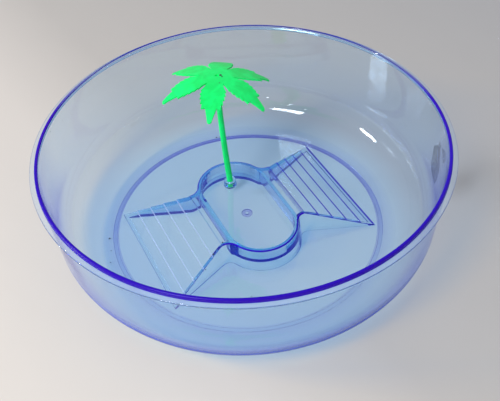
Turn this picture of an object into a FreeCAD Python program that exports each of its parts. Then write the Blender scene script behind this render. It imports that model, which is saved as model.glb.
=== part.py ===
"""Round turtle tank: a clear moulded bowl with an island, and a push-in palm.

Millimetres, +Z up.  The origin is on the tank's axis in the plane that its foot ring stands on.
X runs along the two ramps of the island, and the palm stands on the +Y side of the basin.
"""
import FreeCAD, Part
import math
import os

V = FreeCAD.Vector
UP = V(0, 0, 1)
ORIGIN = V(0, 0, 0)

# Bowl: a turned sheet with a flat floor, a large cove and a nearly upright wall
TANK_HEIGHT = 70.0
WALL = 1.5                  # of the floor, the cove, the side and the island's sheet
FLOOR_RADIUS = 84.0
COVE_RADIUS = 30.0
COVE_SPANS = 6              # short straight spans that the cove is turned from
RIM_RADIUS = 117.0          # outside of the upright bead on the rim
BEAD_WIDTH = 1.9
BEAD_HEIGHT = 2.2
FLANGE_REACH = 3.0          # how far the thin flange stands out from the bead
FLANGE_THICK = 1.1
FOOT_HEIGHT = 0.5
FOOT_WIDTH = 2.4

# Island: a bow-tie of two ramps with a rounded basin across its middle
ISLAND_HEIGHT = 14.4        # above the floor
ISLAND_WALL = 2.6           # of its upright walls
RAMP_REACH = 66.9           # from the axis to the toe of a ramp
TOE_HALF_WIDTH = 42.2
WAIST_REACH = 26.0          # where the flared sides are measured at the waist
WAIST_HALF_WIDTH = 25.2
END_RADIUS = 24.5           # rounded ends of the island, at the floor
END_CENTRE = 19.2
BLEND_RADIUS = 5.0          # hollow corner between a rounded end and a ramp's side
DRAFT = 0.155               # inward lean of the outer walls, as a slope

# Ramps: each climbs in shallow treads with a low riser at the front of each
TREAD_COUNT = 5
TREAD_DEPTH = 7.8
RISER = 0.8

# Basin: straight sides and two round ends, on the same centres as the island's ends
BASIN_DEPTH = 8.1
BASIN_RADIUS = 20.2
GATE_RADIUS = 3.4
GATE_DEPTH = 0.5
SPRUE_RADIUS = 1.1

# Palm: a tapered trunk that bows a little, pushed into a socket, and a crown of toothed fronds
PALM_X = 2.2
PALM_Y = 28.3
SOCKET_RADIUS = 4.15
SOCKET_TOP_RADIUS = 3.7
SOCKET_HEIGHT = 4.0
TRUNK_FOOT_RADIUS = 1.9
TRUNK_TOP_RADIUS = 1.6
TRUNK_HEIGHT = 79.8         # from the basin floor to the shoulder under the crown
TRUNK_LEAN = 3.3            # how far the top stands to one side of the foot
TRUNK_LEAN_TURN = 178.0     # direction of the lean and the bow, in degrees from X
TRUNK_BOW = 0.6             # sideways bulge at the middle of the trunk's height
TRUNK_SPANS = 8             # short straight spans that the bow is made of
FIT_GAP = 0.1               # all round, between a spigot and its hole
PEG_RADIUS = 1.1
PEG_RECESS = 0.8            # how far the peg ends below the top of the hub

CROWN_TILT = 6.5            # of the crown off the upright, in degrees
CROWN_TILT_TURN = 31.0      # direction that it tilts to, in degrees from X
FROND_COUNT = 6
FROND_TURN = -2.5           # direction of the first frond, in degrees from X
FROND_REACH = 33.2          # from the hub's axis to the tip, seen from above
FROND_DROP = 10.4           # from the hub's top down to the tip
FROND_SPANS = 6             # short straight spans that the droop is made of
FROND_THICK = 0.9
FROND_ROOT = 0.23           # share of the reach out to which neighbours are joined
FROND_HALF_WIDTH = 6.3      # between the teeth, at the widest place
FROND_WIDEST = 0.51         # share of the reach where it is widest
TOOTH_COUNT = 5
TOOTH_SIZE = 0.95
TEETH_FROM = 0.34           # shares of the reach where the teeth begin and end
TEETH_TO = 0.78
TONGUE_HALF_WIDTH = 3.2     # narrow end of a frond, past the teeth
TIP_HALF_WIDTH = 1.4
HUB_RADIUS = 4.6
HUB_THICK = 2.6
COLLAR_RADIUS = 2.9
COLLAR_LENGTH = 4.0

# Heights that follow from the sizes above
floor_under = FOOT_HEIGHT
floor_top = floor_under + WALL
island_top = floor_top + ISLAND_HEIGHT
basin_floor = island_top - BASIN_DEPTH
trunk_top = basin_floor + TRUNK_HEIGHT


def closed_face(edges):
    """Flat face inside a closed run of edges."""
    return Part.Face(Part.Wire(Part.__sortEdges__(edges)))


def polygon_face(points):
    return Part.Face(Part.makePolygon(list(points) + [points[0]]))


def upright(x, z):
    return V(x, 0, z)


def bend(centre, radius, start, end, spans):
    """Points on an arc in the XZ plane, from one angle to another in degrees."""
    turns = [math.radians(start + (end - start) * k / spans) for k in range(spans + 1)]
    return [upright(centre[0] + radius * math.cos(a), centre[1] + radius * math.sin(a))
            for a in turns]


def wall_tangent(radius):
    """Angle on a cove of this radius where the straight wall leaves it, toward the rim."""
    foot = (FLOOR_RADIUS, floor_under + COVE_RADIUS)
    run = RIM_RADIUS - BEAD_WIDTH - foot[0]
    rise = TANK_HEIGHT - foot[1]
    return math.degrees(math.atan2(rise, run) - math.acos(radius / math.hypot(run, rise)))


def bowl():
    """Floor, cove, wall, rim flange and bead as one turned sheet."""
    cove_centre = (FLOOR_RADIUS, floor_under + COVE_RADIUS)
    turn = wall_tangent(COVE_RADIUS - WALL)
    inner = bend(cove_centre, COVE_RADIUS - WALL, -90, turn, COVE_SPANS)
    outer = bend(cove_centre, COVE_RADIUS, turn, -90, COVE_SPANS)
    bead_foot = TANK_HEIGHT - BEAD_HEIGHT
    flange_under = bead_foot - FLANGE_THICK
    flange_edge = RIM_RADIUS + FLANGE_REACH
    # The outside of the wall runs on from its cove to the underside of the flange
    wall_top = outer[0].x - (flange_under - outer[0].z) * math.tan(math.radians(turn))
    rim = [(RIM_RADIUS - BEAD_WIDTH, TANK_HEIGHT), (RIM_RADIUS, TANK_HEIGHT),
           (RIM_RADIUS, bead_foot), (flange_edge, bead_foot), (flange_edge, flange_under),
           (wall_top, flange_under)]
    section = inner + [upright(*p) for p in rim] + outer
    floor = [upright(0, floor_under), upright(0, floor_top)]
    sheet = polygon_face(section + floor).revolve(ORIGIN, UP, 360)
    foot_outer = Part.makeCylinder(FLOOR_RADIUS, FOOT_HEIGHT + WALL / 2)
    foot_inner = Part.makeCylinder(FLOOR_RADIUS - FOOT_WIDTH, FOOT_HEIGHT + WALL / 2)
    return sheet.fuse(foot_outer.cut(foot_inner))


def island_outline(inset, z):
    """Closed outline of the island, moved inward by inset, at height z."""
    slope = math.atan2(TOE_HALF_WIDTH - WAIST_HALF_WIDTH, RAMP_REACH - WAIST_REACH)
    along = (math.cos(slope), math.sin(slope))
    outward = (-math.sin(slope), math.cos(slope))
    # Centre of the hollow corner: it touches the flared side and the rounded end
    base = (WAIST_REACH + BLEND_RADIUS * outward[0],
            WAIST_HALF_WIDTH + BLEND_RADIUS * outward[1] - END_CENTRE)
    half = base[0] * along[0] + base[1] * along[1]
    rest = base[0] ** 2 + base[1] ** 2 - (END_RADIUS + BLEND_RADIUS) ** 2
    move = -half + math.sqrt(half * half - rest)
    blend = (base[0] + move * along[0], base[1] + move * along[1] + END_CENTRE)

    reach = RAMP_REACH - inset
    side = (WAIST_REACH - inset * outward[0], WAIST_HALF_WIDTH - inset * outward[1])
    toe = side[1] + (reach - side[0]) * math.tan(slope)
    radius = END_RADIUS - inset
    hollow = BLEND_RADIUS + inset
    to_blend = math.atan2(blend[1] - END_CENTRE, blend[0])
    side_touch = (blend[0] - hollow * outward[0], blend[1] - hollow * outward[1])
    end_touch = (radius * math.cos(to_blend), END_CENTRE + radius * math.sin(to_blend))
    start = math.degrees(to_blend) + 180.0
    finish = math.degrees(slope) + 270.0
    middle = math.radians((start + finish) / 2.0)
    hollow_middle = (blend[0] + hollow * math.cos(middle), blend[1] + hollow * math.sin(middle))

    def at(point, sx, sy):
        return V(sx * point[0], sy * point[1], z)

    edges = []
    for sx in (1, -1):
        edges.append(Part.LineSegment(V(sx * reach, -toe, z), V(sx * reach, toe, z)).toShape())
        for sy in (1, -1):
            edges.append(Part.LineSegment(V(sx * reach, sy * toe, z), at(side_touch, sx, sy)).toShape())
            edges.append(Part.Arc(at(side_touch, sx, sy), at(hollow_middle, sx, sy),
                                  at(end_touch, sx, sy)).toShape())
    for sy in (1, -1):
        edges.append(Part.Arc(at(end_touch, 1, sy), V(0, sy * (END_CENTRE + radius), z),
                              at(end_touch, -1, sy)).toShape())
    return Part.Wire(Part.__sortEdges__(edges))


def drafted_block(inset, bottom, top):
    """Block with the island's outline, whose walls lean inward from the floor up."""
    low = island_outline(inset + DRAFT * (bottom - floor_top), bottom)
    high = island_outline(inset + DRAFT * (top - floor_top), top)
    return Part.makeLoft([low, high], True, True)


def ramp_height(treads_climbed):
    """Height over the floor of the hollow corner in front of a riser."""
    return treads_climbed * (ISLAND_HEIGHT - RISER) / TREAD_COUNT


def tread_profile():
    """Side view of the island's top, from one toe up its treads, across and down again."""
    climb = [(RAMP_REACH, 0.0)]
    for k in range(TREAD_COUNT):
        reach = RAMP_REACH - k * TREAD_DEPTH
        climb.append((reach, ramp_height(k) + RISER))
        climb.append((reach - TREAD_DEPTH, ramp_height(k + 1)))
    landing = RAMP_REACH - TREAD_COUNT * TREAD_DEPTH
    climb.append((landing, ISLAND_HEIGHT))
    right = [upright(x, floor_top + h) for x, h in climb]
    left = [upright(-p.x, p.z) for p in reversed(right)]
    under = [upright(-RAMP_REACH, floor_under), upright(RAMP_REACH, floor_under)]
    return polygon_face(right + left + under)


def hollow_profile():
    """Side view of the space under the island's sheet."""
    landing = RAMP_REACH - TREAD_COUNT * TREAD_DEPTH
    slope = ramp_height(TREAD_COUNT) / (TREAD_COUNT * TREAD_DEPTH)
    top = ISLAND_HEIGHT - WALL
    shoulder = landing - (top - ramp_height(TREAD_COUNT) + WALL) / slope
    points = [(RAMP_REACH, -WALL), (shoulder, top), (-shoulder, top), (-RAMP_REACH, -WALL)]
    under = [(-RAMP_REACH, -2 * WALL), (RAMP_REACH, -2 * WALL)]
    return polygon_face([upright(x, floor_top + h) for x, h in points + under])


def across(face, half_width):
    """Solid as wide as the island, from a face drawn in the XZ plane."""
    moved = face.copy()
    moved.translate(V(0, -half_width, 0))
    return moved.extrude(V(0, 2 * half_width, 0))


def basin_block(grow, bottom, top):
    """The basin's straight middle and two round ends, grown all round."""
    radius = BASIN_RADIUS + grow
    block = Part.makeBox(2 * radius, 2 * END_CENTRE, top - bottom, V(-radius, -END_CENTRE, bottom))
    ends = [Part.makeCylinder(radius, top - bottom, V(0, y, bottom), UP)
            for y in (END_CENTRE, -END_CENTRE)]
    return block.fuse(ends).removeSplitter()


def island():
    """Island as a sheet over an open hollow, with its basin let into the top."""
    width = TOE_HALF_WIDTH + ISLAND_WALL
    outside = drafted_block(0.0, floor_under, island_top).common(across(tread_profile(), width))
    below = floor_under - WALL
    hollow = drafted_block(ISLAND_WALL, below, island_top).common(across(hollow_profile(), width))
    under = basin_floor - WALL
    basin_shell = basin_block(ISLAND_WALL, under, island_top).common(outside)
    basin_space = basin_block(0.0, basin_floor, island_top + WALL)
    return outside.cut(hollow).fuse(basin_shell).cut(basin_space), hollow


def socket():
    """Boss on the basin floor, with a blind hole for the trunk."""
    foot = V(PALM_X, PALM_Y, basin_floor - WALL / 2)
    boss = Part.makeCone(SOCKET_RADIUS, SOCKET_TOP_RADIUS, SOCKET_HEIGHT + WALL / 2, foot, UP)
    hole = Part.makeCylinder(TRUNK_FOOT_RADIUS + FIT_GAP, SOCKET_HEIGHT * 2,
                             V(PALM_X, PALM_Y, basin_floor), UP)
    return boss, hole


def tank():
    """The whole clear moulding."""
    land, hollow = island()
    boss, hole = socket()
    body = bowl().cut(hollow).fuse(land).fuse(boss).cut(hole)
    gate = V(0, 0, basin_floor - GATE_DEPTH)
    dimple = Part.makeCylinder(GATE_RADIUS, 2 * GATE_DEPTH, gate, UP)
    sprue = Part.makeCylinder(SPRUE_RADIUS, 2 * GATE_DEPTH, gate, UP)
    body = body.cut(dimple.cut(sprue))
    return body.removeSplitter()


def turned(degrees):
    """Level direction at an angle from X."""
    return V(math.cos(math.radians(degrees)), math.sin(math.radians(degrees)), 0)


def trunk_line():
    """Arc along the middle of the trunk, from the top of its socket to the crown."""
    lean = turned(TRUNK_LEAN_TURN)
    foot = V(PALM_X, PALM_Y, basin_floor + SOCKET_HEIGHT)
    top = V(PALM_X, PALM_Y, trunk_top) + lean * TRUNK_LEAN
    middle = (foot + top) * 0.5 + lean * TRUNK_BOW
    return Part.Arc(foot, middle, top).toShape()


def crown_axis():
    tilt = math.radians(CROWN_TILT)
    return turned(CROWN_TILT_TURN) * math.sin(tilt) + UP * math.cos(tilt)


def palm_trunk():
    """Tapered rod, upright in its socket, then bowed, with a peg square to the crown on top."""
    line = trunk_line()
    start, end = line.ParameterRange
    sections = []
    for k in range(TRUNK_SPANS + 1):
        share = k / TRUNK_SPANS
        at = start + share * (end - start)
        square_to = crown_axis() if k == TRUNK_SPANS else line.tangentAt(at)
        radius = TRUNK_FOOT_RADIUS + share * (TRUNK_TOP_RADIUS - TRUNK_FOOT_RADIUS)
        sections.append(Part.Wire(Part.makeCircle(radius, line.valueAt(at), square_to)))
    stem = Part.makeLoft(sections, True, True)
    grip = Part.makeCylinder(TRUNK_FOOT_RADIUS, SOCKET_HEIGHT, V(PALM_X, PALM_Y, basin_floor), UP)
    peg_length = COLLAR_LENGTH + HUB_THICK - PEG_RECESS
    peg = Part.makeCylinder(PEG_RADIUS, peg_length, line.valueAt(end), crown_axis())
    return stem.fuse([grip, peg]).removeSplitter()


def blade_half_width(share):
    """Half the width of a frond between its teeth, at a share of its reach."""
    root = FROND_ROOT * FROND_REACH * math.tan(math.pi / FROND_COUNT)
    swell = math.sin(math.pi / 2 * (share - FROND_ROOT) / (FROND_WIDEST - FROND_ROOT))
    return root + (FROND_HALF_WIDTH - root) * swell


def frond_edge():
    """Left edge of a frond along X, from the hub out: a blade with teeth, then a narrow tongue."""
    step = (TEETH_TO - TEETH_FROM) / TOOTH_COUNT
    edge = [(share, blade_half_width(share)) for share in (FROND_ROOT, TEETH_FROM)]
    for k in range(TOOTH_COUNT):
        share = TEETH_FROM + (k + 1) * step
        width = blade_half_width(share)
        foot = TONGUE_HALF_WIDTH if k == TOOTH_COUNT - 1 else width
        edge += [(share, width + TOOTH_SIZE), (share - step / 8, foot)]
    return ([V(share * FROND_REACH, width, 0) for share, width in edge]
            + [V(FROND_REACH - TIP_HALF_WIDTH, TIP_HALF_WIDTH, 0)])


def crown_outline():
    """Plan of the whole ring of fronds, which meet at their roots."""
    edges = []
    for k in range(FROND_COUNT):
        turn = FreeCAD.Rotation(UP, FROND_TURN + 360.0 * k / FROND_COUNT)
        left = [turn.multVec(p) for p in frond_edge()]
        right = [turn.multVec(V(p.x, -p.y, 0)) for p in frond_edge()]
        tip = turn.multVec(V(FROND_REACH, 0, 0))
        edges.append(Part.Arc(left[-1], tip, right[-1]).toShape())
        for line in (left, right):
            edges += [Part.LineSegment(a, b).toShape() for a, b in zip(line, line[1:])]
    return closed_face(edges)


def dome(depth):
    """Block with one flat side to a frond, whose top droops from the hub's edge outward."""
    radius = (FROND_REACH ** 2 + FROND_DROP ** 2) / (2 * FROND_DROP)
    start = math.degrees(math.acos(HUB_RADIUS / radius))
    end = math.degrees(math.acos((FROND_REACH + TIP_HALF_WIDTH) / radius))
    line = bend((0, -radius), radius, start, end, FROND_SPANS)
    line.append(upright(line[-1].x, -depth))
    half = math.pi / FROND_COUNT
    rings = []
    for p in line:
        corner = V(p.x, p.x * math.tan(half), p.z)
        rings.append([FreeCAD.Rotation(UP, FROND_TURN + 360.0 * k / FROND_COUNT).multVec(corner)
                      for k in range(FROND_COUNT)])
    faces = [polygon_face(rings[0]), polygon_face(rings[-1])]
    for high, low in zip(rings, rings[1:]):
        for k in range(FROND_COUNT):
            faces.append(polygon_face([high[k - 1], high[k], low[k], low[k - 1]]))
    return Part.makeSolid(Part.makeShell(faces))


def fronds():
    """The ring of fronds, cut from a domed sheet that is highest on the axis."""
    depth = 2 * FROND_DROP
    outline = crown_outline()
    outline.translate(V(0, 0, -depth))
    solid = outline.extrude(V(0, 0, depth + FROND_THICK)).common(dome(depth + FROND_THICK))
    space = dome(depth + FROND_THICK)
    space.translate(V(0, 0, -FROND_THICK))
    return solid.cut(space)


def palm_crown():
    """Ring of fronds on a hub, with a collar that presses over the trunk's peg."""
    stem = COLLAR_LENGTH + HUB_THICK
    hub = Part.makeCylinder(HUB_RADIUS, HUB_THICK - FROND_THICK / 2, V(0, 0, -HUB_THICK), UP)
    collar = Part.makeCylinder(COLLAR_RADIUS, COLLAR_LENGTH, V(0, 0, -stem), UP)
    hole = Part.makeCylinder(PEG_RADIUS + FIT_GAP, 2 * stem, V(0, 0, -1.5 * stem), UP)
    crown = fronds().fuse([hub, collar]).cut(hole).removeSplitter()
    crown.rotate(ORIGIN, turned(CROWN_TILT_TURN + 90), CROWN_TILT)
    line = trunk_line()
    crown.translate(line.valueAt(line.LastParameter) + crown_axis() * stem)
    return crown


NODES = {"tank": tank, "palm_trunk": palm_trunk, "palm_crown": palm_crown}

if __name__ == "__main__":
    os.makedirs("parts", exist_ok=True)
    for name, make in NODES.items():
        make().exportStep("parts/%s.step" % name)
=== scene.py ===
import math

import bmesh
import bpy
from mathutils import Matrix, Vector, noise


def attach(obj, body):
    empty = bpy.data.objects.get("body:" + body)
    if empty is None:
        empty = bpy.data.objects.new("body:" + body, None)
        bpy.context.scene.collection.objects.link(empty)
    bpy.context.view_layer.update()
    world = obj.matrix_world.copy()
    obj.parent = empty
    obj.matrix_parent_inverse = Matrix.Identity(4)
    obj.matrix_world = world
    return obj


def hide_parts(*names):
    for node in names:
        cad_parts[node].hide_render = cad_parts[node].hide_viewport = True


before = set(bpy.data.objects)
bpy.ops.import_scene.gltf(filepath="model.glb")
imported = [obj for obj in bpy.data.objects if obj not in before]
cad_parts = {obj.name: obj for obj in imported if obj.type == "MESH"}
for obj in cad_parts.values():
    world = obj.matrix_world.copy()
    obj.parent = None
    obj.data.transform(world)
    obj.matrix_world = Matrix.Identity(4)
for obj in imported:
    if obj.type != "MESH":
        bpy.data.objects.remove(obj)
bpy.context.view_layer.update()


# Studio: a pale matt table that runs on as the backdrop, soft light from a
# large window side, and a camera at the photograph's viewing angle.

def linear(text):
    """Linear colour with alpha from sRGB hex."""
    out = []
    for k in (0, 2, 4):
        c = int(text[k:k + 2], 16) / 255
        out.append(c / 12.92 if c <= 0.04045 else ((c + 0.055) / 1.055) ** 2.4)
    return (*out, 1.0)


def add(tree, kind, settings=None, **links):
    """Adds a shader node, with settings for its properties, sockets or stops, and links into its sockets.

    Stops are a colour ramp's, as pairs of place and sRGB hex.
    """
    node = tree.nodes.new("ShaderNode" + kind)
    for name, value in (settings or {}).items():
        if name == "stops":
            while len(node.color_ramp.elements) < len(value):
                node.color_ramp.elements.new(0.5)
            for element, (place, colour) in zip(node.color_ramp.elements, value):
                element.position = place
                element.color = linear(colour)
        elif hasattr(node, name):
            setattr(node, name, value)
        else:
            node.inputs[int(name) if name.isdigit() else name].default_value = value
    for name, source in links.items():
        slot = node.inputs[int(name[1:])] if name[0] == "i" and name[1:].isdigit() else node.inputs[name]
        tree.links.new(source, slot)
    return node


def material(name):
    """New node material, without its default shader."""
    made = bpy.data.materials.new(name)
    made.use_nodes = True
    made.node_tree.nodes.clear()
    return made, made.node_tree


scene = bpy.context.scene
scene.view_settings.view_transform = "Standard"
# Light led along the inside of the plastic meets its faces many times before it leaves
scene.cycles.max_bounces = 24
scene.cycles.transmission_bounces = 24
scene.cycles.glossy_bounces = 24

camera = bpy.data.objects.new("camera", bpy.data.cameras.new("camera"))
scene.collection.objects.link(camera)
camera.data.lens = 56.62
camera.data.sensor_width = 36.0
camera.data.sensor_fit = "HORIZONTAL"
camera.location = (-0.13998, -0.31293, 0.35674)
camera.rotation_euler = [math.radians(a) for a in (45.38, 2.369, -26.821)]
scene.camera = camera

# The table lies 0.2 mm below the foot ring, so that the two faces don't share a plane
table_mesh = bpy.data.meshes.new("table")
bm = bmesh.new()
bmesh.ops.create_grid(bm, x_segments=1, y_segments=1, size=6.0, matrix=Matrix.Translation((0, 0, -0.0002)))
bm.to_mesh(table_mesh)
bm.free()
table = bpy.data.objects.new("table", table_mesh)
scene.collection.objects.link(table)
paint, tree = material("matt_white_board")
coords = add(tree, "TexCoord")
# Painted light and shade: the board is painted warm and light at its near left and greyer to the right,
# over about 0.7 m, for light that falls off across it
across = add(tree, "Mapping", {"Location": (0.5, 0.0, 0.0), "Rotation": (0.0, 0.0, math.radians(-8)),
                               "Scale": (1.4, 1.4, 1.0)}, Vector=coords.outputs["Object"])
fade = add(tree, "TexGradient", Vector=across.outputs[0])
painted_light_falloff = add(tree, "ValToRGB", {"stops": (
    (0.0, "D8D1C8"), (0.4, "D0C9C2"), (0.51, "BAB5B0"), (0.7, "B4B1AE"), (1.0, "AEADAE"))},
    Fac=fade.outputs["Fac"])
# Painted light: a pool of light that the bowl gathers onto the board under it, painted into the board's
# colour in the middle 200 mm
spread = add(tree, "Mapping", {"Scale": (8.5, 8.5, 8.5)}, Vector=coords.outputs["Object"])
painted_light_pool = add(tree, "TexGradient", {"gradient_type": "SPHERICAL"}, Vector=spread.outputs[0])
painted_pool_edge = add(tree, "MapRange", {"From Min": 0.05, "From Max": 0.25, "To Max": 0.9},
               Value=painted_light_pool.outputs["Fac"])
board = add(tree, "Mix", {"data_type": "RGBA", "7": linear("CED3CC")}, i0=painted_pool_edge.outputs[0],
            i6=painted_light_falloff.outputs[0])
# Its lacquer lies in shallow waves about 60 mm across, with a 0.6 mm orange peel
pool = add(tree, "TexNoise", {"Scale": 16.0, "Detail": 2.0}, Vector=coords.outputs["Object"])
peel = add(tree, "TexNoise", {"Scale": 1600.0, "Detail": 1.0}, Vector=coords.outputs["Object"])
waves = add(tree, "Bump", {"Strength": 0.5, "Distance": 0.0015}, Height=pool.outputs["Fac"])
pimples = add(tree, "Bump", {"Strength": 0.25, "Distance": 0.00006}, Height=peel.outputs["Fac"],
              Normal=waves.outputs[0])
worn = add(tree, "MapRange", {"To Min": 0.45, "To Max": 0.62}, Value=pool.outputs["Fac"])
shade = add(tree, "BsdfPrincipled", Roughness=worn.outputs[0], Normal=pimples.outputs[0],
            **{"Base Color": board.outputs[2]})
add(tree, "OutputMaterial", Surface=shade.outputs[0])
table_mesh.materials.append(paint)

world = bpy.data.worlds.new("studio")
scene.world = world
world.use_nodes = True
world.node_tree.nodes.clear()
sky = add(world.node_tree, "Background", {"Color": linear("E6E8EE"), "Strength": 0.66})
add(world.node_tree, "OutputWorld", Surface=sky.outputs[0])

# Each lamp's place, width, height and power in watts, and all of them face the bowl
for name, place, width, height, power in (
        ("soft_side", (-0.75, -0.35, 1.0), 0.33, 0.48, 9.5),
        ("far_window", (-1.433, 0.669, 0.859), 0.36, 0.13, 12.0),
        ("small_lamp", (-0.88, -0.98, 0.70), 0.03, 0.03, 0.08)):
    lamp = bpy.data.objects.new(name, bpy.data.lights.new(name, "AREA"))
    lamp.data.shape = "RECTANGLE"
    lamp.data.size = width
    lamp.data.size_y = height
    lamp.data.energy = power
    lamp.location = place
    lamp.rotation_euler = (-Vector(place)).to_track_quat("-Z", "Y").to_euler()
    scene.collection.objects.link(lamp)


# Tank: one injection moulding in clear polystyrene with a blue dye, polished by
# its mould. The island is the CAD solid's own, and the turned bowl round it is
# joined on with a finer cove and with rounded rim, flange and foot.

def arc(centre, radius, start, end, steps):
    """Points on an arc in millimetres, from one angle to another in degrees."""
    turns = [math.radians(start + (end - start) * k / steps) for k in range(steps + 1)]
    return [(centre[0] + radius * math.cos(a), centre[1] + radius * math.sin(a)) for a in turns]


def mesh_object(name, shape):
    """Object with a new mesh from a bmesh, which it frees."""
    mesh = bpy.data.meshes.new(name)
    shape.to_mesh(mesh)
    shape.free()
    if "custom_normal" in mesh.attributes:
        mesh.attributes.remove(mesh.attributes["custom_normal"])
    made = bpy.data.objects.new(name, mesh)
    scene.collection.objects.link(made)
    return made


def closed_copy(node):
    """Copy of a CAD node, with its triangles joined into a closed surface of whole flat faces."""
    shape = bmesh.new()
    shape.from_mesh(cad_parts[node].data)
    bmesh.ops.remove_doubles(shape, verts=shape.verts, dist=1e-6)
    bmesh.ops.dissolve_limit(shape, angle_limit=math.radians(0.5), verts=shape.verts, edges=shape.edges)
    return shape


def once_each(parts):
    """List of a bmesh's parts without repeats, always in the same order, as a set's isn't."""
    return list(dict.fromkeys(parts))


def wall_radius(height):
    """Radius of the leaning wall's outside in millimetres, at a height above the cove."""
    start, rise = outside[-1]
    return start + (height - rise) * math.tan(math.radians(wall_lean))


# The bowl's outline in millimetres from its axis and above the table
wall_lean = 3.68                                # of the wall off the upright, in degrees
cove, cove_radius, thickness = (84.0, 30.5), 30.0, 1.5
outside = arc(cove, cove_radius, -90, -wall_lean, 28)
inside = arc(cove, cove_radius - thickness, -wall_lean, -90, 28)
wall_top = wall_radius(66.7)
foot_ring = ([(80.0, 0.5), (81.6, 0.5)] + arc((81.9, 0.3), 0.3, 180, 270, 3)
             + arc((83.7, 0.3), 0.3, 270, 360, 3))
flange = ([(wall_top, 66.4)] + arc((wall_top + 0.3, 66.4), 0.3, 180, 90, 3)
          + arc((119.6, 67.1), 0.4, -90, 0, 4) + arc((119.6, 67.4), 0.4, 0, 90, 4))
bead = (arc((117.3, 68.1), 0.3, 270, 180, 3) + arc((116.2, 69.2), 0.8, 0, 90, 6)
        + arc((115.75, 69.35), 0.65, 90, 180, 5))
section = foot_ring + outside + flange + bead + inside + [(80.0, 2.0)]
shape = bmesh.new()
corners = [shape.verts.new((x / 1000, 0.0, z / 1000)) for x, z in section]
line = [shape.edges.new(pair) for pair in zip(corners, corners[1:] + corners[:1])]
bmesh.ops.spin(shape, geom=corners + line, cent=(0, 0, 0), axis=(0, 0, 1), dvec=(0, 0, 0),
               angle=math.tau, steps=240, use_merge=True)
bmesh.ops.recalc_face_normals(shape, faces=shape.faces)
turned_ring = mesh_object("turned_ring", shape)
# The CAD solid is cut out 0.5 mm past the ring's inner edge, so that the two overlap and join
shape = bmesh.new()
bmesh.ops.create_cone(shape, cap_ends=True, segments=240, radius1=0.0805, radius2=0.0805, depth=0.06)
middle = mesh_object("middle", shape)

# Measures that tell the moulding's edges apart, in metres
island_reach = 0.0797                           # from the axis, round the island
above_floor = 0.0019
ramp_start = 0.027                              # from the axis along x, past the basin
end_centre = 0.0192                             # of the basin's round ends, along y
outer_edge = 0.0213                             # of the round ends' tops, from their centre line
to_back = Vector((0.45, 0.89))                  # the way to the back of the photograph
# Lines beside the steps' edges: place of the edge on the right ramp, and width there. They are
# 0.4 mm wide on the left ramp
step_lines = ((0.0357, 0.0009), (0.0435, 0.0009), (0.0513, 0.0009), (0.0591, 0.0009), (0.0667, 0.0013))
left_width = 0.0004


def on_island(vert):
    """Whether a vertex is on top of the island, clear of the floor round it."""
    return math.hypot(vert.co.x, vert.co.y) < island_reach and vert.co.z > above_floor


def from_end_centre(spot):
    """Distance from the centre line that the basin's round ends are struck from."""
    return math.hypot(spot.x, max(abs(spot.y) - end_centre, 0.0))


def dye_and_painted_shade(face, softened):
    """How far a face is painted dark violet, partly for the dye that edges gather and partly as painted
    shade, from 0 to 1.
    """
    spot = face.calc_center_median()
    away = math.hypot(spot.x, spot.y)
    # Painted light and shade on the rim's bead: it is palest at the back, where light from the room shines
    # along it, and darkest at the front and sides
    if spot.z > 0.0678 and 0.1149 < away < 0.1172 and (spot.z > 0.0693 or face.normal.xy.dot(spot.xy) > 0):
        back = spot.xy.dot(to_back) / 0.117
        return 1.0 - 0.9 * min(max((back - 0.25) / 0.4, 0.0), 1.0)
    # The foot ring, strongest at the back, and the start of the cove outside it: partly dye and partly
    # painted contact shade
    if spot.z < 0.0006 and 0.0806 < away < 0.0841:
        return 0.34 + 0.26 * spot.xy.dot(to_back) / 0.084
    if spot.z < 0.0016 and 0.0841 < away < 0.093 and face.normal.z < -0.5:
        return 0.16 * (0.093 - away) / 0.009
    # Painted shade on the gate mark in the middle of the basin
    if away < 0.0034 and 0.007 < spot.z < 0.00825:
        return 0.35
    if not all(map(on_island, face.verts)):
        return 0.0
    # The right ramp's edges and the lines along its steps, but not its near side: partly dye and partly
    # painted shade
    if spot.x > ramp_start and (softened or face.normal.x > 0.9):
        return 0.0 if face.normal.y < -0.1 else 1.0
    on_line = any(edge - width < spot.x < edge for edge, width in step_lines)
    if on_line and face.normal.z > 0.95 and abs(face.normal.y) < 0.01:
        return 0.9
    if not softened:
        return 0.0
    # The left ramp's sides, and the edges round the top and the foot of the basin's wall: partly dye and
    # partly painted shade
    if spot.x < -ramp_start:
        return 0.8 if abs(face.normal.y) > 0.1 else 0.0
    if spot.z > 0.0155:
        return 1.0 if from_end_centre(spot) > outer_edge else 0.5
    return 0.3


def painted_highlight(face, softened):
    """How far a face is painted white as a highlight, where it would catch the light, from 0 to 1."""
    spot = face.calc_center_median()
    away = math.hypot(spot.x, spot.y)
    # Painted highlight on the right ramp's near edge
    if softened and spot.x > 0.03 and spot.z > 0.003 and face.normal.y < -0.1:
        return 0.35
    # Painted highlight on the top of the flange, brightest at the front
    if 0.0675 < spot.z < 0.0685 and 0.1172 < away < 0.1194:
        return 0.06 + 0.26 * min(max(-spot.xy.dot(to_back) / 0.12, 0.0), 1.0)
    # Painted highlights on the left ramp's risers and the lines beside them
    if away < island_reach and spot.z > above_floor and -0.066 < spot.x < -0.034:
        near_step = any(-edge < spot.x + 0.00001 < -edge + 0.0005 for edge, width in step_lines)
        if face.normal.x < -0.5 or (near_step and face.normal.z > 0.9):
            return 0.42
    return 0.0


def on_turn(face):
    """1 on the outside of the curve between floor and wall, fading out towards both, and 0 elsewhere."""
    spot = face.calc_center_median()
    away = math.hypot(spot.x, spot.y)
    if away < 0.097 or spot.z > 0.032 or face.normal.xy.dot(spot.xy) < 0:
        return 0.0
    return min((away - 0.097) / 0.003, (0.032 - spot.z) / 0.01, 1.0)


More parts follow.
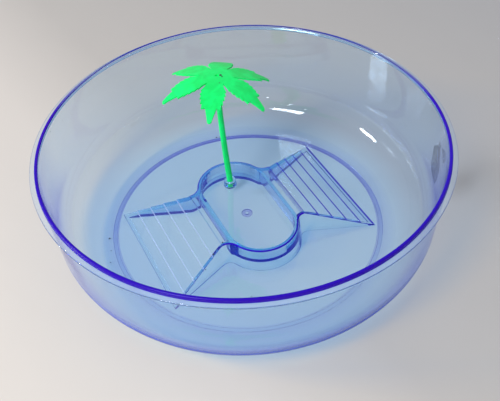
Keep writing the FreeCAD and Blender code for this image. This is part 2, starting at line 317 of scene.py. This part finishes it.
# The mould's corners on the island are softened, most of all round the tops of its round ends
shape = closed_copy("tank")
marked = shape.faces.layers.float.new("softened")
sharp = [e for e in shape.edges if e.calc_face_angle() > math.radians(25) and all(map(on_island, e.verts))]
broad = [e for e in sharp if all(v.co.z > 0.0163 and from_end_centre(v.co) > outer_edge for v in e.verts)]
for edges, width in ((broad, 0.0007), ([e for e in sharp if e not in broad], 0.0003)):
    edges = [e for e in edges if e.is_valid]
    soft = bmesh.ops.bevel(shape, geom=edges, offset=width, offset_type="OFFSET", segments=2,
                           profile=0.5, affect="EDGES", material=-1, clamp_overlap=True)
    for face in soft["faces"]:
        face[marked] = 1.0
rough = mesh_object("rough", shape)
for other, operation in ((middle, "INTERSECT"), (turned_ring, "UNION")):
    join = rough.modifiers.new(other.name, "BOOLEAN")
    join.operation = operation
    join.solver = "EXACT"
    join.object = other
whole = bpy.data.meshes.new_from_object(rough.evaluated_get(bpy.context.evaluated_depsgraph_get()))
for spent in (rough, middle, turned_ring):
    bpy.data.objects.remove(spent)

shape = bmesh.new()
shape.from_mesh(whole)
bmesh.ops.remove_doubles(shape, verts=shape.verts, dist=1e-6)
shape.normal_update()
for edge, width in step_lines:
    for x in (edge - width, left_width - edge):
        treads = [f for f in shape.faces if f.normal.z > 0.9 and all(map(on_island, f.verts))]
        near = once_each(e for f in treads for e in f.edges) + once_each(v for f in treads for v in f.verts)
        bmesh.ops.bisect_plane(shape, geom=treads + near, dist=1e-7, plane_co=(x, 0, 0), plane_no=(1, 0, 0))
shape.normal_update()
marked = shape.faces.layers.float["softened"]
dye_shade_layer = shape.faces.layers.float.new("edge_glow")
highlight_layer = shape.faces.layers.float.new("edge_shine")
turn = shape.faces.layers.float.new("base_turn")
for face in shape.faces:
    face[dye_shade_layer] = dye_and_painted_shade(face, face[marked] > 0.5)
    face[highlight_layer] = painted_highlight(face, face[marked] > 0.5)
    face[turn] = on_turn(face)
moulding = mesh_object("moulding", shape)


def finish_shading(piece):
    """Smooth shading with sharp edges over 28 degrees, where flat faces keep their flat look."""
    piece.data.shade_smooth()
    piece.data.set_sharp_from_angle(angle=math.radians(28))
    weigh = piece.modifiers.new("flats", "WEIGHTED_NORMAL")
    weigh.mode = "FACE_AREA"
    weigh.weight = 100
    weigh.keep_sharp = True


finish_shading(moulding)
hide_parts("tank")
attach(moulding, "root")
clear, tree = material("blue_clear_polystyrene")
coords = add(tree, "TexCoord")
# Handling has left smudges about 12 mm across and hairline scratches 0.3 mm apart in the polish,
# and the sheets lie in waves about 36 mm long
smudge = add(tree, "TexNoise", {"Scale": 80.0, "Detail": 3.0, "Distortion": 0.6},
             Vector=coords.outputs["Object"])
hazy = add(tree, "MapRange", {"From Min": 0.52, "From Max": 0.75, "To Min": 0.01, "To Max": 0.05},
           Value=smudge.outputs["Fac"])
long_way = add(tree, "Mapping", {"Scale": (3000.0, 160.0, 900.0), "Rotation": (0.2, 0.1, 0.7)},
               Vector=coords.outputs["Object"])
hairs = add(tree, "TexNoise", {"Scale": 1.0, "Detail": 1.0}, Vector=long_way.outputs[0])
wave = add(tree, "TexNoise", {"Scale": 28.0, "Detail": 1.0}, Vector=coords.outputs["Object"])
uneven = add(tree, "Bump", {"Strength": 1.0, "Distance": 0.0003}, Height=wave.outputs["Fac"])
skin = add(tree, "Bump", {"Strength": 0.25, "Distance": 0.00001}, Height=hairs.outputs["Fac"],
           Normal=uneven.outputs[0])
# Sheets look deeper in colour where they are met at a slant, and low down, below about 50 mm
slant = add(tree, "LayerWeight", {"Blend": 0.5})
clear_tint = add(tree, "ValToRGB", {"stops": (
    (0.0, "FCFDFF"), (0.6, "F8F9FF"), (0.9, "D0CEFF"), (1.0, "7C70F0"))}, Fac=slant.outputs["Facing"])
deep_tint = add(tree, "ValToRGB", {"stops": (
    (0.0, "F4F9FF"), (0.55, "EEF3FF"), (0.78, "A4A4FA"), (1.0, "3C28D0"))}, Fac=slant.outputs["Facing"])
place = add(tree, "SeparateXYZ", Vector=coords.outputs["Object"])
height = add(tree, "MapRange", {"From Min": 0.02, "From Max": 0.05}, Value=place.outputs["Z"])
tint = add(tree, "Mix", {"data_type": "RGBA"}, i0=height.outputs[0], i6=deep_tint.outputs[0],
           i7=clear_tint.outputs[0])
shell = add(tree, "BsdfPrincipled", {"IOR": 1.5, "Transmission Weight": 1.0}, Roughness=hazy.outputs[0],
            Normal=skin.outputs[0], **{"Base Color": tint.outputs[2]})
# Painted glow: where a ray has met more than seven faces, the sheet gives a violet emission, standing in
# for light caught in the sheet and coloured by the dye
ray = add(tree, "LightPath")
painted_glow_depth = add(tree, "Math", {"operation": "GREATER_THAN", "1": 7.0}, i0=ray.outputs["Ray Depth"])
violet = add(tree, "Emission", {"Color": linear("3020B4"), "Strength": 0.8})
sheet = add(tree, "MixShader", i0=painted_glow_depth.outputs[0], i1=shell.outputs[0], i2=violet.outputs[0])
# Where the base's curve is met edge on, a dark blue line is painted that draws its outline, partly for the
# dye gathering there and partly as painted shade
base_turn = add(tree, "Attribute", {"attribute_name": "base_turn"})
edge_on = add(tree, "MapRange", {"From Min": 0.6, "From Max": 0.78, "To Max": 0.95},
              Value=slant.outputs["Facing"])
rim_line = add(tree, "Math", {"operation": "MULTIPLY"}, i0=base_turn.outputs["Fac"], i1=edge_on.outputs[0])
base_dye_and_shade = add(tree, "BsdfPrincipled", {"Base Color": linear("1C4CD8"), "Roughness": 0.25, "IOR": 1.5,
                                         "Specular IOR Level": 0.06, "Transmission Weight": 0.25})
rimmed = add(tree, "MixShader", i0=rim_line.outputs[0], i1=sheet.outputs[0], i2=base_dye_and_shade.outputs[0])
# Edges are painted violet, partly for the dye that gathers in them and partly as painted shade, and painted
# white as highlights where they would catch the light
dye_shade_mask = add(tree, "Attribute", {"attribute_name": "edge_glow"})
violet_dye_and_shade = add(tree, "BsdfPrincipled", {"Base Color": linear("2C00B4"), "Roughness": 0.25, "IOR": 1.5,
                                        "Specular IOR Level": 0.06, "Transmission Weight": 0.25})
dyed_and_shaded = add(tree, "MixShader", i0=dye_shade_mask.outputs["Fac"], i1=rimmed.outputs[0], i2=violet_dye_and_shade.outputs[0])
highlight_mask = add(tree, "Attribute", {"attribute_name": "edge_shine"})
painted_white_highlight = add(tree, "BsdfPrincipled", {"Base Color": linear("D8E6FF"), "Roughness": 0.3, "IOR": 1.5,
                                       "Transmission Weight": 0.3})
surface = add(tree, "MixShader", i0=highlight_mask.outputs["Fac"], i1=dyed_and_shaded.outputs[0], i2=painted_white_highlight.outputs[0])
# Lamps and light scattered off the table pass the sheets unbent, as through thin plastic
passes = add(tree, "Math", {"operation": "MAXIMUM"}, i0=ray.outputs["Is Shadow Ray"],
             i1=ray.outputs["Is Diffuse Ray"])
straight = add(tree, "BsdfTransparent", {"Color": linear("F8F8FF")})
both = add(tree, "MixShader", i0=passes.outputs[0], i1=surface.outputs[0], i2=straight.outputs[0])
# The dye takes about 60% of the red and 30% of the green in 10 mm of plastic
dye = add(tree, "VolumeAbsorption", {"Color": (0.0, 0.66, 0.98, 1.0), "Density": 95.0})
add(tree, "OutputMaterial", Surface=both.outputs[0], Volume=dye.outputs[0])
moulding.data.materials.append(clear)


# Residue: two torn flakes of old paper and glue, 0.12 mm thick, on the outside
# of the wall at the right, and dark specks of dried dirt on the bowl and the
# island. The dark specks on the palm's crown are painted shade round its peg hole.

# The flakes' outlines, in degrees round the wall and millimetres above the table
main = [(-23.0, 55.2), (-24.4, 55.5), (-25.1, 54.9), (-24.7, 52.8), (-23.4, 49.9), (-24.8, 50.3),
        (-26.0, 50.1), (-26.0, 47.7), (-27.3, 46.2), (-28.2, 44.7), (-28.5, 42.0), (-28.6, 39.0),
        (-28.7, 36.4), (-28.0, 31.3), (-27.4, 29.4), (-25.6, 29.2), (-23.6, 29.8), (-22.0, 30.3),
        (-21.6, 32.3), (-20.8, 33.0), (-21.8, 33.8), (-23.1, 33.3), (-23.7, 36.5), (-23.3, 39.0),
        (-24.1, 41.9), (-24.0, 43.7), (-24.8, 46.4), (-23.7, 46.7), (-21.9, 45.7), (-21.2, 43.1),
        (-20.1, 44.5), (-19.7, 46.6), (-21.2, 49.2), (-22.7, 51.4), (-23.1, 53.5)]
second = [(-26.2, 55.6), (-27.9, 57.7), (-30.0, 59.0), (-31.3, 58.2), (-32.1, 56.7), (-31.8, 53.5),
          (-30.4, 51.4), (-29.0, 52.3), (-27.9, 54.1), (-26.7, 54.3)]
degree = 2.0                                    # length of a degree round the wall, in millimetres
# They are cut out flat in millimetres, frayed and thickened, and then bent round the wall
shape = bmesh.new()
for outline in (main, second):
    flat = [shape.verts.new((turn * degree, height, 0.0)) for turn, height in outline]
    made = bmesh.ops.triangulate(shape, faces=[shape.faces.new(flat)])["faces"]
    edges = once_each(e for f in made for e in f.edges)
    bmesh.ops.subdivide_edges(shape, edges=edges, cuts=3, use_grid_fill=True)
# Torn edges and blisters, from noise on a scale of about 2 mm that is the same each run
noise.seed_set(1)
for vert in shape.verts:
    frayed = noise.noise_vector(Vector((vert.co.x, vert.co.y, 0.0)) * 0.6) * 0.35
    if vert.is_boundary:
        vert.co += Vector((frayed.x, frayed.y, 0.0))
    vert.co.z = 0.06 + 0.12 * abs(noise.noise(Vector((vert.co.x, vert.co.y, 3.0)) * 0.5))
bmesh.ops.recalc_face_normals(shape, faces=shape.faces)
thick = bmesh.ops.extrude_face_region(shape, geom=list(shape.faces))
for item in thick["geom"]:
    if isinstance(item, bmesh.types.BMVert):
        item.co.z += 0.12
for vert in shape.verts:
    along, height, out = vert.co
    radius = wall_radius(height) + out
    turn = math.radians(along / degree)
    vert.co = Vector((radius * math.cos(turn), radius * math.sin(turn), height)) / 1000
# A bent flake is too thin for the operator to tell its outside, which its signed volume does
bmesh.ops.recalc_face_normals(shape, faces=shape.faces)
if shape.calc_volume(signed=True) < 0:
    bmesh.ops.reverse_faces(shape, faces=shape.faces)
flakes = mesh_object("paper_flakes", shape)
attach(flakes, "root")
paper, tree = material("torn_paper_and_glue")
coords = add(tree, "TexCoord")
# Grey paper, brown glue and pale fibres, in patches about 3 mm across, with no gloss
patch = add(tree, "TexNoise", {"Scale": 330.0, "Detail": 6.0, "Roughness": 0.65},
            Vector=coords.outputs["Object"])
mottle = add(tree, "ValToRGB", {"stops": (
    (0.3, "54463C"), (0.42, "74645A"), (0.56, "8E7E70"), (0.7, "D4CABC"))}, Fac=patch.outputs["Fac"])
fibre = add(tree, "Bump", {"Strength": 0.6, "Distance": 0.0002}, Height=patch.outputs["Fac"])
dull = add(tree, "BsdfPrincipled", {"Roughness": 0.9}, Normal=fibre.outputs[0],
           **{"Base Color": mottle.outputs[0]})
add(tree, "OutputMaterial", Surface=dull.outputs[0])
flakes.data.materials.append(paper)

# Each speck's place and half its width, in millimetres: the bowl and island first, then the crown, whose
# three are painted shade round its peg hole
shape = bmesh.new()
for spot, size in (((-94.0, 65.9, 64.9), 0.3), ((-83.8, 78.1, 60.7), 0.25), ((17.1, 82.4, 2.1), 0.55),
                   ((19.5, 81.6, 2.1), 0.3), ((54.8, 54.8, 2.0), 0.5), ((-81.9, 27.3, 2.1), 0.6),
                   ((-88.0, 8.1, 2.3), 0.4), ((-84.4, 17.2, 2.1), 0.35), ((-42.2, -30.6, 9.8), 0.4),
                   ((-26.7, -21.9, 16.4), 0.5), ((-34.5, -25.8, 14.0), 0.55), ((-25.3, -55.4, 2.0), 0.3),
                   ((1.4, 28.2, 94.3), 0.9), ((1.6, 26.4, 94.5), 0.5), ((-2.3, 21.3, 94.7), 0.35)):
    ball = bmesh.ops.create_icosphere(shape, subdivisions=2, radius=size / 1000)
    for vert in ball["verts"]:
        # Uneven on a scale of 0.4 mm, and flattened
        vert.co *= 1.0 + 0.45 * noise.noise(vert.co * 2600 + Vector(spot))
        vert.co.z *= 0.35
        vert.co += Vector(spot) / 1000
specks = mesh_object("dirt_and_shade_specks", shape)
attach(specks, "root")
dirt_and_shade, tree = material("dark_dirt_and_painted_shade")
coords = add(tree, "TexCoord")
# Dull mottling about 0.2 mm across
crumb = add(tree, "TexNoise", {"Scale": 5000.0, "Detail": 2.0}, Vector=coords.outputs["Object"])
speck_colour = add(tree, "ValToRGB", {"stops": ((0.35, "1C1A26"), (0.65, "3C3848"))}, Fac=crumb.outputs["Fac"])
grain = add(tree, "BsdfPrincipled", {"Roughness": 0.8}, **{"Base Color": speck_colour.outputs[0]})
add(tree, "OutputMaterial", Surface=grain.outputs[0])
specks.data.materials.append(dirt_and_shade)


# Palm: trunk and crown, each moulded in opaque green polyethylene, pressed
# together and into the socket in the basin.

green, tree = material("green_polyethylene")
coords = add(tree, "TexCoord")
# The green clouds faintly in swirls about 10 mm across, and its skin has a fine 0.4 mm grain
swirl = add(tree, "TexNoise", {"Scale": 100.0, "Detail": 3.0, "Distortion": 1.2},
            Vector=coords.outputs["Object"])
leaf = add(tree, "ValToRGB", {"stops": ((0.35, "00E064"), (0.65, "00F676"))}, Fac=swirl.outputs["Fac"])
fine = add(tree, "TexNoise", {"Scale": 2500.0, "Detail": 2.0}, Vector=coords.outputs["Object"])
grained = add(tree, "Bump", {"Strength": 0.3, "Distance": 0.00005}, Height=fine.outputs["Fac"])
satin = add(tree, "MapRange", {"To Min": 0.3, "To Max": 0.48}, Value=swirl.outputs["Fac"])
opaque = add(tree, "BsdfPrincipled", {"Specular IOR Level": 0.3}, Roughness=satin.outputs[0],
             Normal=grained.outputs[0], **{"Base Color": leaf.outputs[0]})
add(tree, "OutputMaterial", Surface=opaque.outputs[0])
for node, name in (("palm_trunk", "trunk"), ("palm_crown", "crown")):
    piece = mesh_object(name, closed_copy(node))
    finish_shading(piece)
    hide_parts(node)
    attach(piece, "root")
    piece.data.materials.append(green)
